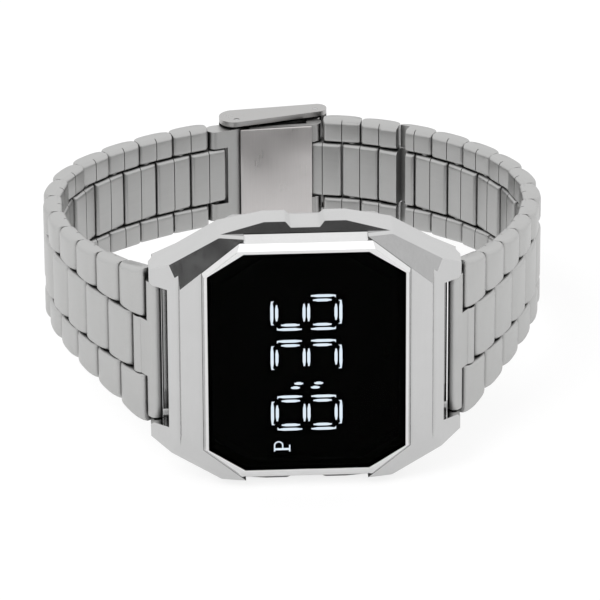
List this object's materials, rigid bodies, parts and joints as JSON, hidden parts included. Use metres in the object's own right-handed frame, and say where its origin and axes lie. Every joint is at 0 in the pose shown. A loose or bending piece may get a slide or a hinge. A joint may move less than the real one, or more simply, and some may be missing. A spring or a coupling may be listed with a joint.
{
  "type": "digital wristwatch",
  "caption": "Digital wristwatch with an eight-sided dark glass in a bright case, on a closed bracelet of folded links that opens at a fold-over clasp.",
  "frame": {"origin": "middle of the footprint, on the surface that the watch's 9 o'clock edge rests on", "axes": "+X towards 6 o'clock, +Y from the glass to the clasp, +Z towards 3 o'clock, up as it lies on its edge"},
  "size_m": [0.0604, 0.0586, 0.0336],
  "materials": {
    "case_steel": "bright plated metal, soft polish",
    "polished": "mirror polished",
    "back_steel": "brushed",
    "filter_glass": "polished dark filter glass",
    "seal": "matt",
    "display_black": "matt black",
    "lit_white": "glowing cool white",
    "frame_plastic": "moulded",
    "board_green": "solder resist",
    "chip_black": "moulded",
    "tin": "plated",
    "resistor": "glazed",
    "gilt": "gold plated",
    "cell_steel": "satin",
    "pin_steel": "drawn",
    "clasp_steel": "satin",
    "band_steel": "satin, brushed across the band"
  },
  "bodies": {
    "case": {"case_middle": "case_steel", "bezel": "polished", "crystal": "filter_glass", "crystal_gasket": "seal", "display_board": "display_black", "led_segments": "lit_white", "module_frame": "frame_plastic", "circuit_board": "board_green", "driver_chip": "chip_black", "quartz_can": "tin", "chip_resistors": "resistor", "touch_contact": "gilt", "cell_contact_9": "gilt", "cell_contact_3": "gilt", "cell_9": "cell_steel", "cell_3": "cell_steel", "cell_clamp": "gilt", "clamp_screws": "tin", "back_gasket": "seal", "case_back": "back_steel", "case_back_screws": "back_steel", "lug_bar_6": "pin_steel"},
    "end_6": {"end_link_6": "band_steel"},
    "band_6_1": {"link_6_1": "band_steel"},
    "band_6_2": {"link_6_2": "band_steel"},
    "band_6_3": {"link_6_3": "band_steel"},
    "band_6_4": {"link_6_4": "band_steel"},
    "band_6_5": {"link_6_5": "band_steel"},
    "band_6_6": {"link_6_6": "band_steel"},
    "band_6_7": {"link_6_7": "band_steel"},
    "band_6_8": {"link_6_8": "band_steel"},
    "band_6_9": {"link_6_9": "band_steel"},
    "band_6_10": {"link_6_10": "band_steel"},
    "band_6_11": {"link_6_11": "band_steel"},
    "band_6_12": {"link_6_12": "band_steel"},
    "band_6_13": {"link_6_13": "band_steel"},
    "inner_leaf": {"clasp_inner_leaf": "clasp_steel", "clasp_leaf_pin": "pin_steel"},
    "middle_leaf": {"clasp_middle_leaf": "clasp_steel"},
    "cover": {"clasp_cover": "clasp_steel", "clasp_cover_pin": "pin_steel", "clasp_bar": "pin_steel"},
    "clasp_end": {"clasp_link": "band_steel"},
    "band_12_12": {"link_12_12": "band_steel"},
    "band_12_11": {"link_12_11": "band_steel"},
    "band_12_10": {"link_12_10": "band_steel"},
    "band_12_9": {"link_12_9": "band_steel"},
    "band_12_8": {"link_12_8": "band_steel"},
    "band_12_7": {"link_12_7": "band_steel"},
    "band_12_6": {"link_12_6": "band_steel"},
    "band_12_5": {"link_12_5": "band_steel"},
    "band_12_4": {"link_12_4": "band_steel"},
    "band_12_3": {"link_12_3": "band_steel"},
    "band_12_2": {"link_12_2": "band_steel"},
    "band_12_1": {"link_12_1": "band_steel"},
    "end_12": {"end_link_12": "band_steel", "lug_bar_12": "pin_steel"}
  },
  "joints": [
    {"name": "lug_swing_6", "type": "hinge", "parent": "case", "child": "end_6", "pos_m": [0.01794, -0.02449, 0.0168], "axis": [0, 0, -1], "range_deg": [0, 35]},
    {"name": "unroll_6_1", "type": "hinge", "parent": "end_6", "child": "band_6_1", "pos_m": [0.01935, -0.02249, 0.0168], "axis": [0, 0, -1], "range_deg": [0, 3]},
    {"name": "unroll_6_2", "type": "hinge", "parent": "band_6_1", "child": "band_6_2", "pos_m": [0.02197, -0.01829, 0.0168], "axis": [0, 0, -1], "range_deg": [0, 3.51]},
    {"name": "unroll_6_3", "type": "hinge", "parent": "band_6_2", "child": "band_6_3", "pos_m": [0.02433, -0.01394, 0.0168], "axis": [0, 0, -1], "range_deg": [0, 4.51]},
    {"name": "unroll_6_4", "type": "hinge", "parent": "band_6_3", "child": "band_6_4", "pos_m": [0.02634, -0.00941, 0.0168], "axis": [0, 0, -1], "range_deg": [0, 4.51]},
    {"name": "unroll_6_5", "type": "hinge", "parent": "band_6_4", "child": "band_6_5", "pos_m": [0.02799, -0.00475, 0.0168], "axis": [0, 0, -1], "range_deg": [0, 8.52]},
    {"name": "unroll_6_6", "type": "hinge", "parent": "band_6_5", "child": "band_6_6", "pos_m": [0.02894, 0.00011, 0.0168], "axis": [0, 0, -1], "range_deg": [0, 12.52]},
    {"name": "unroll_6_7", "type": "hinge", "parent": "band_6_6", "child": "band_6_7", "pos_m": [0.0288, 0.00506, 0.0168], "axis": [0, 0, -1], "range_deg": [0, 14.53]},
    {"name": "unroll_6_8", "type": "hinge", "parent": "band_6_7", "child": "band_6_8", "pos_m": [0.02743, 0.00982, 0.0168], "axis": [0, 0, -1], "range_deg": [0, 14.03]},
    {"name": "unroll_6_9", "type": "hinge", "parent": "band_6_8", "child": "band_6_9", "pos_m": [0.02494, 0.0141, 0.0168], "axis": [0, 0, -1], "range_deg": [0, 12.52]},
    {"name": "unroll_6_10", "type": "hinge", "parent": "band_6_9", "child": "band_6_10", "pos_m": [0.02159, 0.01774, 0.0168], "axis": [0, 0, -1], "range_deg": [0, 9.52]},
    {"name": "unroll_6_11", "type": "hinge", "parent": "band_6_10", "child": "band_6_11", "pos_m": [0.01768, 0.02078, 0.0168], "axis": [0, 0, -1], "range_deg": [0, 9.02]},
    {"name": "unroll_6_12", "type": "hinge", "parent": "band_6_11", "child": "band_6_12", "pos_m": [0.01334, 0.02316, 0.0168], "axis": [0, 0, -1], "range_deg": [0, 8.52]},
    {"name": "unroll_6_13", "type": "hinge", "parent": "band_6_12", "child": "band_6_13", "pos_m": [0.0087, 0.02488, 0.0168], "axis": [0, 0, -1], "range_deg": [0, 8.52]},
    {"name": "unroll_6_clasp", "type": "hinge", "parent": "band_6_13", "child": "inner_leaf", "pos_m": [0.00386, 0.02589, 0.0168], "axis": [0, 0, -1], "range_deg": [0, 16.55]},
    {"name": "clasp_unfold", "type": "hinge", "parent": "inner_leaf", "child": "middle_leaf", "pos_m": [-0.00372, 0.02526, 0.0168], "axis": [0, 0, 1], "range_deg": [0, 145]},
    {"name": "cover_unfold", "type": "hinge", "parent": "middle_leaf", "child": "cover", "pos_m": [0.0041, 0.02782, 0.0168], "axis": [0, 0, 1], "range_deg": [-145, 0]},
    {"name": "unroll_12_clasp", "type": "hinge", "parent": "cover", "child": "clasp_end", "pos_m": [-0.00581, 0.02509, 0.0168], "axis": [0, 0, -1], "range_deg": [0, 11.04]},
    {"name": "unroll_12_13", "type": "hinge", "parent": "clasp_end", "child": "band_12_12", "pos_m": [-0.0086, 0.0243, 0.0168], "axis": [0, 0, -1], "range_deg": [0, 6.51]},
    {"name": "unroll_12_12", "type": "hinge", "parent": "band_12_12", "child": "band_12_11", "pos_m": [-0.01318, 0.02242, 0.0168], "axis": [0, 0, -1], "range_deg": [0, 5.51]},
    {"name": "unroll_12_11", "type": "hinge", "parent": "band_12_11", "child": "band_12_10", "pos_m": [-0.01756, 0.02011, 0.0168], "axis": [0, 0, -1], "range_deg": [0, 6.51]},
    {"name": "unroll_12_10", "type": "hinge", "parent": "band_12_10", "child": "band_12_9", "pos_m": [-0.02164, 0.01732, 0.0168], "axis": [0, 0, -1], "range_deg": [0, 9.52]},
    {"name": "unroll_12_9", "type": "hinge", "parent": "band_12_9", "child": "band_12_8", "pos_m": [-0.02521, 0.01389, 0.0168], "axis": [0, 0, -1], "range_deg": [0, 15.53]},
    {"name": "unroll_12_8", "type": "hinge", "parent": "band_12_8", "child": "band_12_7", "pos_m": [-0.02774, 0.00963, 0.0168], "axis": [0, 0, -1], "range_deg": [0, 17.03]},
    {"name": "unroll_12_7", "type": "hinge", "parent": "band_12_7", "child": "band_12_6", "pos_m": [-0.0289, 0.00482, 0.0168], "axis": [0, 0, -1], "range_deg": [0, 13.52]},
    {"name": "unroll_12_6", "type": "hinge", "parent": "band_12_6", "child": "band_12_5", "pos_m": [-0.0289, -0.00013, 0.0168], "axis": [0, 0, -1], "range_deg": [0, 11.02]},
    {"name": "unroll_12_5", "type": "hinge", "parent": "band_12_5", "child": "band_12_4", "pos_m": [-0.02796, -0.00499, 0.0168], "axis": [0, 0, -1], "range_deg": [0, 9.02]},
    {"name": "unroll_12_4", "type": "hinge", "parent": "band_12_4", "child": "band_12_3", "pos_m": [-0.02627, -0.00965, 0.0168], "axis": [0, 0, -1], "range_deg": [0, 5.51]},
    {"name": "unroll_12_3", "type": "hinge", "parent": "band_12_3", "child": "band_12_2", "pos_m": [-0.02414, -0.01411, 0.0168], "axis": [0, 0, -1], "range_deg": [0, 5.51]},
    {"name": "unroll_12_2", "type": "hinge", "parent": "band_12_2", "child": "band_12_1", "pos_m": [-0.02159, -0.01836, 0.0168], "axis": [0, 0, -1], "range_deg": [0, 2.5]},
    {"name": "unroll_12_1", "type": "hinge", "parent": "band_12_1", "child": "end_12", "pos_m": [-0.01886, -0.02249, 0.0168], "axis": [0, 0, -1], "range_deg": [0, 1.5]}
  ],
  "couplings": [
    {"joint": "cover_unfold", "follows": "clasp_unfold", "ratio": -1}
  ]
}
